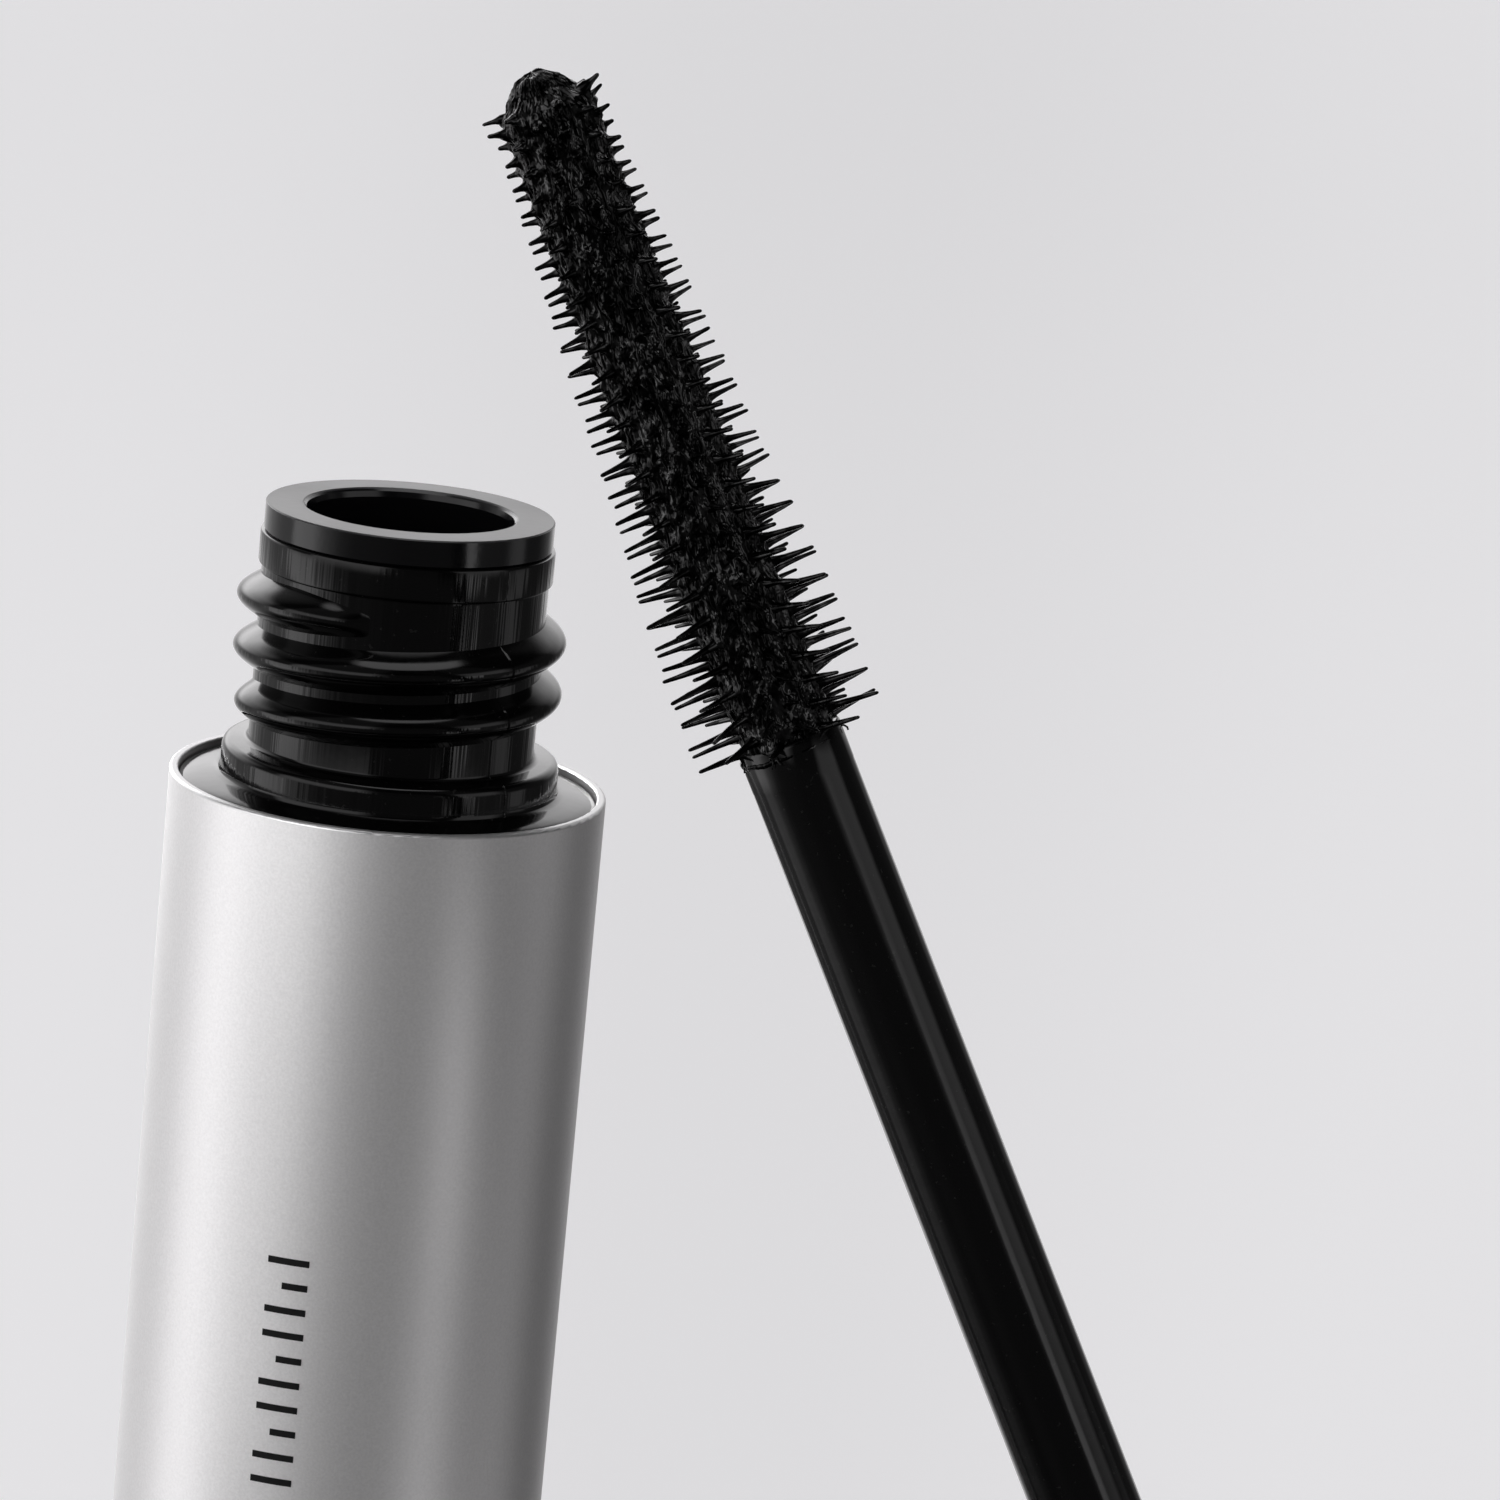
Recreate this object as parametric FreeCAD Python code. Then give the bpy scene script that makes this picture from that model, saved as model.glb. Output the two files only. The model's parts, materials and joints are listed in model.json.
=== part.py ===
import FreeCAD, Part
import math
import os

# Mascara tube, open: bottle standing upright, applicator leaning beside it with its brush up.
# Lengths in millimetres. The bottle's axis is +Z from the origin at the centre of its base.
# The applicator is drawn screwed on to the bottle, then carried to its place beside it.

# Bottle sleeve and base
SLEEVE_R = 8.8
SLEEVE_IN_R = 8.44
SLEEVE_FOOT = 0.55
SLEEVE_TOP = 80.0
PLUG_R = 8.7
PLUG_TOP = 3.6
LABEL_R = 6.5
LABEL_DEPTH = 0.3
LABEL_THICK = 0.12

# Inner bottle
BODY_R = 8.0
CAVITY_R = 6.6
CAVITY_FLOOR = 5.0
SHOULDER_R = 8.4
SHOULDER_UNDER = 76.0
COLLAR_R = 6.78
COLLAR_FOOT = 80.15
COLLAR_TOP = 81.35
NECK_R = 5.75
NECK_BORE_R = 4.72
LAND_R = 5.9
LAND_FOOT = 88.64
NECK_TOP = 89.95

# Thread, right-handed
PITCH = 2.12
CREST_R = 6.65
THREAD_START_Z = 87.69
THREAD_START_DEG = 255.0
THREAD_TURNS = 2.24
THREAD_STEPS_PER_TURN = 40
THREAD_FADE_DEG = 38.0

# Wiper
FLANGE_R = 5.78
FLANGE_TOP = 91.1
MOUTH_R = 4.3
WIPER_IN_R = 4.1
WIPER_OUT_R = 4.68
WIPER_LIP_R = 4.02
WIPER_FOOT = 78.0

# Formula left in the bottle, with the channel that the brush keeps open
FILL_R = 6.55
FILL_CHANNEL_R = 4.7
FILL_TOP = 46.0

# Printed mark on the sleeve
MARK_DEG = 258.0
MARK_TOP = 62.3
MARK_PITCH = 1.02
MARK_COUNT = 16
MARK_WIDE = 1.7
MARK_NARROW = 1.05
MARK_STROKE = 0.27
MARK_THICK = 0.02

# Cap
CAP_R = 8.8
CAP_IN_R = 8.44
CAP_FOOT = 80.35
CAP_LENGTH = 45.61
CAP_END_WALL = 0.6
CAP_END_ROUND = 0.7
INNER_CAP_R = 8.4
INNER_CAP_FOOT = 80.6
INNER_CAP_TOP = 104.0
INNER_CAP_BORE_R = 6.85
RELIEF_R = 7.1
RELIEF_TOP = 82.2
ROOF_UNDER = 92.15
ROOF_TOP = 94.2
CAP_THREAD_TIP_R = 6.02
CAP_THREAD_LOW_Z = 85.5
CAP_THREAD_TURNS = 1.25
LINER_R = 5.75
LINER_FOOT = 91.16
LINER_TOP = 92.1
WEIGHT_R = 8.36
WEIGHT_BORE_R = 3.0
WEIGHT_FOOT = 104.1
WEIGHT_TOP = 116.1
PAD_FOOT = 120.0

# Stem and brush
TIP_Z = 5.85
STEM_R = 2.005
STEM_ROOT_R = 2.06
STEM_FOOT = 33.1
STEM_TAPER_END = 80.0
STEM_TOP = 100.0
STEM_HEAD_R = 3.2
STEM_HEAD_TOP = 101.2
STEM_HOLE_R = 2.1
SOCKET_R = 1.33
SOCKET_TOP = 38.4
BRUSH_CORE_R = 1.25
BRUSH_TOP = 38.2
PIN_R = 0.7
PIN_BORE_R = 0.78
PIN_FOOT = 9.0
PIN_TOP = 31.0
BRISTLE_ROWS = 12
ROW_PHASE_DEG = 11.63
BRISTLE_PITCH = 0.98
BRISTLES_PER_ROW = 26
BRISTLE_FIRST = 1.25
BRISTLE_BASE_R = 0.24
BRISTLE_TIP_R = 0.1
COAT_IN_R = 1.27
COAT_R = 1.86
COAT_SLOT = 0.54

# Distance from the tip, and radius of the bristles' ends there
ENVELOPE = [
    (0.0, 1.95),
    (1.0, 2.1),
    (11.0, 2.85),
    (16.3, 3.14),
    (18.0, 3.36),
    (21.0, 3.57),
    (24.0, 3.76),
    (27.0, 3.76),
]

# How the applicator gets from the bottle to its place beside it
CAP_TURN_TURNS = 1.75
LIFT = 84.0
HINGE_POINT = (-14.9727, -17.8117, 97.563)
HINGE_AXIS = (-0.896763, -0.390128, -0.208847)
TURN_OVER = 169.6171


def vector(x, y, z):
    return FreeCAD.Vector(x, y, z)


def turned(points):
    """A solid of revolution about Z from (radius, height) points."""
    corners = [vector(r, 0, z) for r, z in points]
    face = Part.Face(Part.makePolygon(corners + corners[:1]))
    return face.revolve(vector(0, 0, 0), vector(0, 0, 1), 360)


def rounded(shape, radius, keep):
    """Rounds the circular edges that keep(radius, height) picks."""
    picked = []
    for edge in shape.Edges:
        if isinstance(edge.Curve, Part.Circle):
            if keep(edge.Curve.Radius, edge.Curve.Center.z):
                picked.append(edge)
    return shape.makeFillet(radius, picked)


def near(a, b):
    return abs(a - b) < 0.005


def screw_ridge(section, low_deg, high_deg, z_at_low):
    """A right-handed ridge through flat-sided steps; section(degrees) gives (radius, height) points."""
    steps = int(round((high_deg - low_deg) / 360.0 * THREAD_STEPS_PER_TURN))
    wires = []
    for i in range(steps + 1):
        deg = low_deg + (high_deg - low_deg) * i / steps
        angle = math.radians(deg)
        z = z_at_low + PITCH * (deg - low_deg) / 360.0
        corners = []
        for r, dz in section(deg):
            corners.append(vector(r * math.cos(angle), r * math.sin(angle), z + dz))
        wires.append(Part.makePolygon(corners + corners[:1]))
    return Part.makeLoft(wires, True, True)


def fade(deg, low_deg, high_deg):
    """Grows from 0 to 1 over the first degrees of a thread, and back over the last."""
    share = min((deg - low_deg) / THREAD_FADE_DEG, (high_deg - deg) / THREAD_FADE_DEG, 1.0)
    return math.sin(max(share, 0.0) * math.pi / 2)


def neck_thread():
    high = THREAD_START_DEG
    low = high - 360.0 * THREAD_TURNS
    z_low = THREAD_START_Z - PITCH * THREAD_TURNS

    def section(deg):
        rise = 0.04 + (CREST_R - NECK_R - 0.04) * fade(deg, low, high)
        half = 0.3 + 0.45 * fade(deg, low, high)
        return [
            (NECK_R - 0.35, -half),
            (NECK_R, -half),
            (NECK_R + 0.55 * rise, -0.62 * half),
            (NECK_R + 0.92 * rise, -0.34 * half),
            (NECK_R + rise, 0.0),
            (NECK_R + 0.92 * rise, 0.34 * half),
            (NECK_R + 0.55 * rise, 0.62 * half),
            (NECK_R, half),
            (NECK_R - 0.35, half),
        ]

    return screw_ridge(section, low, high, z_low)


def cap_thread():
    phase = (CAP_THREAD_LOW_Z - THREAD_START_Z - PITCH / 2) / PITCH * 360.0
    low = THREAD_START_DEG + phase
    high = low + 360.0 * CAP_THREAD_TURNS

    def section(deg):
        grow = fade(deg, low, high)
        tip = INNER_CAP_BORE_R - 0.04 - (INNER_CAP_BORE_R - 0.04 - CAP_THREAD_TIP_R) * grow
        return [
            (INNER_CAP_BORE_R + 0.3, -0.7),
            (INNER_CAP_BORE_R, -0.7),
            (tip, -0.3),
            (tip, 0.3),
            (INNER_CAP_BORE_R, 0.7),
            (INNER_CAP_BORE_R + 0.3, 0.7),
        ]

    return screw_ridge(section, low, high, CAP_THREAD_LOW_Z)


def outer_sleeve():
    tube = turned([
        (SLEEVE_IN_R, SLEEVE_FOOT),
        (SLEEVE_R, SLEEVE_FOOT),
        (SLEEVE_R, SLEEVE_TOP),
        (SLEEVE_IN_R, SLEEVE_TOP),
    ])
    tube = rounded(tube, 0.12, lambda r, z: near(r, SLEEVE_R) and near(z, SLEEVE_TOP))
    return rounded(tube, 0.08, lambda r, z: near(r, SLEEVE_IN_R) and near(z, SLEEVE_TOP))


def print_mark():
    """A column of plain bars, long and short by turns."""
    ring = Part.makeCylinder(SLEEVE_R + MARK_THICK, 40, vector(0, 0, 40))
    ring = ring.cut(Part.makeCylinder(SLEEVE_R, 40, vector(0, 0, 40)))
    bars = []
    for i in range(MARK_COUNT):
        width = MARK_NARROW if i % 3 == 1 else MARK_WIDE
        top = MARK_TOP - i * MARK_PITCH
        corner = vector(SLEEVE_R - 1, MARK_WIDE / 2 - width, top - MARK_STROKE)
        block = Part.makeBox(2.0, width, MARK_STROKE, corner)
        block.rotate(vector(0, 0, 0), vector(0, 0, 1), MARK_DEG)
        bars.append(ring.common(block).Solids[0])
    return Part.makeCompound(bars)


def base_plug():
    """Closes the sleeve's foot; its recess takes the label."""
    return turned([
        (0, LABEL_DEPTH),
        (LABEL_R + 0.1, LABEL_DEPTH),
        (LABEL_R + 0.1, 0),
        (PLUG_R - 0.25, 0),
        (PLUG_R, 0.25),
        (PLUG_R, 0.5),
        (SLEEVE_IN_R - 0.04, 0.5),
        (SLEEVE_IN_R - 0.04, PLUG_TOP - 0.3),
        (SLEEVE_IN_R - 0.34, PLUG_TOP),
        (0, PLUG_TOP),
    ])


def base_label():
    return Part.makeCylinder(LABEL_R, LABEL_THICK, vector(0, 0, LABEL_DEPTH - LABEL_THICK - 0.01))


def inner_bottle():
    body = turned([
        (0, PLUG_TOP + 0.1),
        (BODY_R - 0.8, PLUG_TOP + 0.1),
        (BODY_R, PLUG_TOP + 0.9),
        (BODY_R, SHOULDER_UNDER),
        (SHOULDER_R, SHOULDER_UNDER + 0.4),
        (SHOULDER_R, 79.6),
        (SHOULDER_R - 0.15, 79.75),
        (7.6, 79.95),
        (COLLAR_R + 0.12, COLLAR_FOOT - 0.09),
        (COLLAR_R, COLLAR_FOOT),
        (COLLAR_R, COLLAR_TOP - 0.34),
        (COLLAR_R - 0.1, COLLAR_TOP - 0.1),
        (COLLAR_R - 0.34, COLLAR_TOP),
        (NECK_R + 0.14, COLLAR_TOP + 0.02),
        (NECK_R, COLLAR_TOP + 0.16),
        (NECK_R, LAND_FOOT - 0.1),
        (LAND_R, LAND_FOOT + 0.04),
        (LAND_R, NECK_TOP - 0.08),
        (LAND_R - 0.08, NECK_TOP),
        (NECK_BORE_R, NECK_TOP),
        (NECK_BORE_R, 78.6),
        (CAVITY_R, 75.0),
        (CAVITY_R, CAVITY_FLOOR + 0.8),
        (CAVITY_R - 0.8, CAVITY_FLOOR),
        (0, CAVITY_FLOOR),
    ])
    return body.fuse(neck_thread()).removeSplitter()


def wiper():
    """Flat flange on the neck's end, mouth with a rounded edge, tube and wiping lip."""
    shape = turned([
        (MOUTH_R + 0.02, FLANGE_TOP),
        (FLANGE_R - 0.05, FLANGE_TOP),
        (FLANGE_R, FLANGE_TOP - 0.05),
        (FLANGE_R, NECK_TOP + 0.1),
        (FLANGE_R - 0.06, NECK_TOP + 0.02),
        (WIPER_OUT_R, NECK_TOP + 0.02),
        (WIPER_OUT_R, WIPER_FOOT + 1.6),
        (WIPER_LIP_R + 0.2, WIPER_FOOT),
        (WIPER_LIP_R, WIPER_FOOT),
        (WIPER_LIP_R, WIPER_FOOT + 0.5),
        (WIPER_IN_R, WIPER_FOOT + 3.2),
        (WIPER_IN_R, FLANGE_TOP - 0.35),
        (WIPER_IN_R + 0.06, FLANGE_TOP - 0.12),
    ])
    return shape


def formula_fill():
    return turned([
        (FILL_CHANNEL_R, CAVITY_FLOOR + 0.85),
        (FILL_R, CAVITY_FLOOR + 0.85),
        (FILL_R, FILL_TOP),
        (FILL_CHANNEL_R + 0.5, FILL_TOP - 1.5),
        (FILL_CHANNEL_R, FILL_TOP - 3.0),
    ])


def cap_shell():
    top = CAP_FOOT + CAP_LENGTH
    cup = turned([
        (0, top - CAP_END_WALL),
        (CAP_IN_R - 0.4, top - CAP_END_WALL),
        (CAP_IN_R, top - CAP_END_WALL - 0.4),
        (CAP_IN_R, CAP_FOOT),
        (CAP_R, CAP_FOOT),
        (CAP_R, top),
        (0, top),
    ])
    cup = rounded(cup, CAP_END_ROUND, lambda r, z: near(r, CAP_R) and near(z, top))
    return rounded(cup, 0.12, lambda r, z: near(r, CAP_R) and near(z, CAP_FOOT))


def inner_cap():
    """Skirt with the internal thread, roof, and the tube above it that holds the stem."""
    body = turned([
        (STEM_HOLE_R, ROOF_UNDER),
        (INNER_CAP_BORE_R, ROOF_UNDER),
        (INNER_CAP_BORE_R, RELIEF_TOP + 0.25),
        (RELIEF_R, RELIEF_TOP),
        (RELIEF_R, INNER_CAP_FOOT),
        (INNER_CAP_R, INNER_CAP_FOOT),
        (INNER_CAP_R, INNER_CAP_TOP),
        (INNER_CAP_R - 1.2, INNER_CAP_TOP),
        (INNER_CAP_R - 1.2, ROOF_TOP),
        (STEM_HEAD_R, ROOF_TOP),
        (STEM_HEAD_R, STEM_TOP - 0.05),
        (STEM_HOLE_R, STEM_TOP - 0.05),
    ])
    return body.fuse(cap_thread()).removeSplitter()


def seal_liner():
    """Soft ring that lands on the wiper's flange; it's free to stay still while the cap turns."""
    return turned([
        (STEM_HOLE_R + 0.1, LINER_FOOT),
        (LINER_R, LINER_FOOT),
        (LINER_R, LINER_TOP),
        (STEM_HOLE_R + 0.1, LINER_TOP),
    ])


def cap_weight():
    return turned([
        (WEIGHT_BORE_R, WEIGHT_FOOT),
        (WEIGHT_R - 0.3, WEIGHT_FOOT),
        (WEIGHT_R, WEIGHT_FOOT + 0.3),
        (WEIGHT_R, WEIGHT_TOP - 0.3),
        (WEIGHT_R - 0.3, WEIGHT_TOP),
        (WEIGHT_BORE_R, WEIGHT_TOP),
    ])


def cap_pad():
    top = CAP_FOOT + CAP_LENGTH - CAP_END_WALL - 0.05
    return turned([
        (0, PAD_FOOT),
        (CAP_IN_R - 0.45, PAD_FOOT),
        (CAP_IN_R - 0.45, top),
        (0, top),
    ])


def stem():
    """Hollow, drawn in a little towards the brush, with a head that sits on the inner cap."""
    body = turned([
        (SOCKET_R, STEM_FOOT),
        (STEM_R - 0.5, STEM_FOOT),
        (STEM_R - 0.25, STEM_FOOT + 0.07),
        (STEM_R - 0.07, STEM_FOOT + 0.25),
        (STEM_R, STEM_FOOT + 0.55),
        (STEM_ROOT_R, STEM_TAPER_END),
        (STEM_ROOT_R, STEM_TOP),
        (STEM_HEAD_R, STEM_TOP),
        (STEM_HEAD_R, STEM_HEAD_TOP),
        (PIN_BORE_R, STEM_HEAD_TOP),
        (PIN_BORE_R, SOCKET_TOP),
        (SOCKET_R, SOCKET_TOP),
    ])
    return body


def envelope_radius(along):
    for (s0, r0), (s1, r1) in zip(ENVELOPE, ENVELOPE[1:]):
        if along <= s1:
            return r0 + (r1 - r0) * (along - s0) / (s1 - s0)
    return ENVELOPE[-1][1]


def row_bearing(row):
    return 360.0 * (row + 0.5) / BRISTLE_ROWS + ROW_PHASE_DEG


def brush():
    """One moulding: hollow core, stalk, and rows of conical bristles, alternate rows half a pitch on."""
    core = turned([
        (0, TIP_Z + 0.7),
        (BRUSH_CORE_R - 0.3, TIP_Z + 0.7),
        (BRUSH_CORE_R, TIP_Z + 1.0),
        (BRUSH_CORE_R, BRUSH_TOP),
        (PIN_BORE_R, BRUSH_TOP),
        (PIN_BORE_R, PIN_FOOT - 0.1),
        (0, PIN_FOOT - 0.1),
    ])
    core.rotate(vector(0, 0, 0), vector(0, 0, 1), ROW_PHASE_DEG)
    bristles = []
    foot = BRUSH_CORE_R - 0.12
    for row in range(BRISTLE_ROWS):
        for i in range(BRISTLES_PER_ROW):
            along = BRISTLE_FIRST + (i + 0.5 * (row % 2)) * BRISTLE_PITCH
            if along > 26.6:
                continue
            base = vector(foot, 0, TIP_Z + along)
            length = envelope_radius(along) - foot
            bristle = Part.makeCone(BRISTLE_BASE_R, BRISTLE_TIP_R, length, base, vector(1, 0, 0))
            bristle.rotate(vector(0, 0, 0), vector(0, 0, 1), row_bearing(row))
            bristles.append(bristle)
    return core.multiFuse(bristles)


def brush_core():
    return Part.makeCylinder(PIN_R, PIN_TOP - PIN_FOOT, vector(0, 0, PIN_FOOT))


def formula_coat():
    """Formula between the rows of bristles, joined by the blob over the tip."""
    coat = turned([
        (0, TIP_Z),
        (0.6, TIP_Z + 0.1),
        (1.1, TIP_Z + 0.35),
        (1.5, TIP_Z + 0.8),
        (COAT_R, TIP_Z + 1.6),
        (COAT_R, STEM_FOOT - 0.25),
        (COAT_IN_R, STEM_FOOT - 0.05),
        (COAT_IN_R, TIP_Z + 0.65),
        (0, TIP_Z + 0.65),
    ])
    for row in range(BRISTLE_ROWS):
        slot = Part.makeBox(3.0, COAT_SLOT, 30.0, vector(0.9, -COAT_SLOT / 2, TIP_Z + BRISTLE_FIRST - 0.27))
        slot.rotate(vector(0, 0, 0), vector(0, 0, 1), row_bearing(row))
        coat = coat.cut(slot)
    return coat


def beside_the_bottle(shape):
    """Unscrews, lifts and turns over a piece of the applicator."""
    placed = shape.copy()
    placed.rotate(vector(0, 0, 0), vector(0, 0, 1), 360.0 * CAP_TURN_TURNS)
    placed.translate(vector(0, 0, LIFT + CAP_TURN_TURNS * PITCH))
    placed.rotate(vector(*HINGE_POINT), vector(*HINGE_AXIS), -TURN_OVER)
    return placed


def main():
    os.makedirs("parts", exist_ok=True)
    bottle = {
        "outer_sleeve": outer_sleeve(),
        "print_mark": print_mark(),
        "base_plug": base_plug(),
        "base_label": base_label(),
        "inner_bottle": inner_bottle(),
        "wiper": wiper(),
        "formula_fill": formula_fill(),
    }
    applicator = {
        "cap_shell": cap_shell(),
        "inner_cap": inner_cap(),
        "seal_liner": seal_liner(),
        "cap_weight": cap_weight(),
        "cap_pad": cap_pad(),
        "stem": stem(),
        "brush": brush(),
        "brush_core": brush_core(),
        "formula_coat": formula_coat(),
    }
    for name, shape in bottle.items():
        shape.exportStep(f"parts/{name}.step")
    for name, shape in applicator.items():
        beside_the_bottle(shape).exportStep(f"parts/{name}.step")


main()
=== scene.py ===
import json
import math
import random

import bpy
from mathutils import Matrix, Vector, noise


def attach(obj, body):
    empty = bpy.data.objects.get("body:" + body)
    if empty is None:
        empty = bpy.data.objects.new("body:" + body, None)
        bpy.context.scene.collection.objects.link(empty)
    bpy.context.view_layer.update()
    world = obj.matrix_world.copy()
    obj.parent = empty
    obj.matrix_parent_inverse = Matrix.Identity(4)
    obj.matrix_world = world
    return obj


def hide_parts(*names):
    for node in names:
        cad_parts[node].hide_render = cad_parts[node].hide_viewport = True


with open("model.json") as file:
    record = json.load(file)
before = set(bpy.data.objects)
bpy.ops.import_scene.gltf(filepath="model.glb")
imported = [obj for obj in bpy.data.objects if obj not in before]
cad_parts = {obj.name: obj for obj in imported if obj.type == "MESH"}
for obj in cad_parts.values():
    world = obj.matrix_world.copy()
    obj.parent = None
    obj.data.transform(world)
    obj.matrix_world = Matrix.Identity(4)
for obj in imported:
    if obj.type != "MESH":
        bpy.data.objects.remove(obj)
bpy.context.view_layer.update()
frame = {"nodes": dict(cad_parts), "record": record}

# Lengths are in millimetres unless a comment says otherwise; MM turns them into metres.
MM = 0.001

# The applicator's place, as in the CAD: it's drawn screwed on to the bottle, then carried beside it.
LIFT = 84.0
LEAD = 3.71
UNSCREWED = math.radians(270)
HINGE_POINT = Vector((-14.9727, -17.8117, 97.563))
HINGE_AXIS = Vector((-0.896763, -0.390128, -0.208847)).normalized()
TURN_OVER = math.radians(169.6171)
TIP_Z = 5.85

# Bristles: places are distances from the brush's tip.
BRISTLE_ROWS = 12
BRISTLES_PER_ROW = 26
BRISTLE_PITCH = 0.98
BRISTLE_FIRST = 1.25
BRISTLE_LAST = 26.6
BRISTLE_SIDES = 10
ROW_PHASE = math.radians(11.63)
TIP_ROWS_END = 2.3
# How far the bristles' ends are from the axis: (distance from the tip, radius).
ENVELOPE = [
    (0.0, 1.95), (1.0, 2.1), (11.0, 2.85), (16.3, 3.14),
    (18.0, 3.36), (21.0, 3.57), (24.0, 3.76), (27.0, 3.76),
]
# Where the rings of a bristle lie, as shares of its length.
BRISTLE_SHARES = [0.0, 0.1, 0.2, 0.3, 0.4, 0.5, 0.6, 0.7, 0.8, 0.88, 0.94, 0.975, 0.993, 1.0]
FOOT_DEPTH = 0.35
END_R = 0.068
TAPER = 0.046
BLUNT_LENGTH = 0.09
# The foot's flare: how much wider it is, from where up the bristle it fades, and how fast.
FLARE = 0.12
FLARE_START = 0.55
FLARE_FADE = 0.17
# How much bristles differ: shares of their length, and more in the rows at the tip.
LENGTH_SPREAD = 0.02
BEND_SPREAD = 0.06
TIP_EXTRA = 0.3
TIP_LEAN = 0.35

# The coat of formula
COAT_R = 1.55
# How much wider it is at the brush's other end
COAT_GAIN = 0.14
BRUSH_LENGTH = 27.0
COAT_BORE = 1.45
COAT_BORE_START = 1.1
COAT_END = 26.7
COAT_SIDES = 264
COAT_RINGS = 560
# Its tip as a dome with square shoulders: (distance from the tip, radius).
TIP_SHAPE = [
    (0.0, 0.0), (0.05, 0.36), (0.14, 0.62), (0.32, 0.86), (0.6, 1.04),
    (0.9, 1.24), (1.2, 1.5), (1.5, 1.6), (2.0, COAT_R),
]
TIP_FLAT_R = 0.03
# The tip is lumpier down to the first distance; its finer relief fades in over the second.
TIP_LUMPS_END = 2.4
TIP_FADE = 0.5
# Where it meets the stem: length of the step, its film on the stem, and the sunk rim where it ends.
STEM_STEP = 0.35
STEP_FILM = 0.035
THIN_FILM = 0.012
RIM_SINK = 0.06
RIM_SHARE = 0.008
SMOOTH_START = 0.5
SMOOTH_LENGTH = 0.6
SMOOTHED = 0.86
# The smear's end on the stem: at least this far past the coat's end, more on the left, and ragged.
SMEAR = 0.07
SMEAR_LEFT = 0.22
SMEAR_RAGGED = 0.09
LEFT_BEARING = math.radians(131.63 + 180)
# How the formula is drawn up the bristles: by how much, less of it along the brush, and how widely.
SWELL = 0.27
SWELL_LOSS = 0.004
SWELL_SPREAD = 0.05
SWELL_REACH = 0.6

# Strings of formula along the brush
STRANDS = 95
LONG_STRANDS = 9
STARTS, LENGTHS = (0.9, 24.5), (1.0, 5.5)
LONG_STARTS, LONG_LENGTHS = (1.5, 4.0), (14.0, 21.0)
STRAND_RADII = (0.03, 0.075)
STRAND_LIMIT = 26.9
STRAND_RINGS_PER_MM = 9
STRAND_RINGS_LEAST = 5
STRAND_SIDES = 7

# The stem's end, and the ring of the brush that covers it
STEM_END = 27.25
STEM_R = 2.005
RING_R = STEM_R + 0.006
RING_BORE = 1.5
RING_SIDES = 96
RING_PROFILE = [
    (RING_BORE, COAT_END - 0.5), (1.95, COAT_END - 0.45), (RING_R, COAT_END - 0.35),
    (RING_R, STEM_END + 0.6), (RING_BORE, STEM_END + 0.6),
]

# The inner bottle: (radius, height), up the outside from the axis, then down the inside.
BODY = [
    (0.0, 3.7), (7.2, 3.7), (8.0, 4.5), (8.0, 76.0), (8.4, 76.4),
    (8.4, 79.55), (8.36, 79.68), (8.22, 79.77), (7.9, 79.86),
]
SHOULDER = [(7.5, 79.95), (7.1, 80.01), (6.93, 80.05), (6.84, 80.1), (6.79, 80.2), (6.78, 80.3)]
COLLAR = [
    (6.78, 80.98), (6.755, 81.12), (6.68, 81.25), (6.56, 81.325), (6.44, 81.35),
    (5.97, 81.37), (5.87, 81.39), (5.79, 81.45), (5.75, 81.56),
]
NECK = [(5.75, 88.5), (5.77, 88.58), (5.84, 88.64), (5.88, 88.66), (5.9, 88.72), (5.9, 89.85)]
MOUTH = [(5.87, 89.92), (5.8, 89.95), (4.72, 89.95), (4.72, 78.6)]
INSIDE = [(6.6, 75.0), (6.6, 5.8), (5.8, 5.0), (0.0, 5.0)]
NECK_R = 5.75
BOTTLE_SIDES = 240

# Its thread, with angles in degrees
PITCH = 2.12
THREAD_TOP = 261.0
THREAD_TOP_Z = 87.725
THREAD_TURNS = 2.26
THREAD_LOW = THREAD_TOP - 360 * THREAD_TURNS
THREAD_RISE = 0.9
THREAD_RUN_OUT = 42.0
THREAD_STEP = 2.5
RUN_OUT_DROP = 0.3
RIDGE_ROOT = 0.4
RIDGE_SINK = 0.004
RIDGE_POINTS = 17
# Half the ridge's width at its root: where it starts, and how much it widens to the full ridge.
RIDGE_HALF = 0.42
RIDGE_HALF_GAIN = 0.46

# The mould's parting line, a thin flash up the neck
PARTING = -43.4
SEAM_LOW = 80.06
SEAM_HIGH = 89.88
SEAM_STEPS = 330
FLASH = 0.018
FLASH_ON_THREAD = 0.05
FLASH_WAVE = 0.006
# Across the line: (degrees aside, how far it is sunk, share of the flash).
SEAM_SECTION = [(-0.75, 0.03, 0.0), (-0.22, 0.0, 0.55), (0.0, 0.0, 1.0), (0.25, 0.0, 0.4), (0.8, 0.03, 0.0)]

# Edges that the materials need to know
SLEEVE_TOP = 80.0
CAP_EDGE = 80.35
WIPER_TOP_M = (0.09102, 0.09108)


def place():
    """The applicator's place beside the bottle, in metres."""
    away = Matrix.Rotation(-TURN_OVER, 4, HINGE_AXIS)
    lift = Matrix.Translation((0, 0, LIFT + LEAD)) @ Matrix.Rotation(UNSCREWED, 4, "Z")
    m = Matrix.Translation(HINGE_POINT) @ away @ Matrix.Translation(-HINGE_POINT) @ lift
    m.translation = m.translation * MM
    return m


PLACE = place()


# ---------- material nodes ----------

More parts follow.
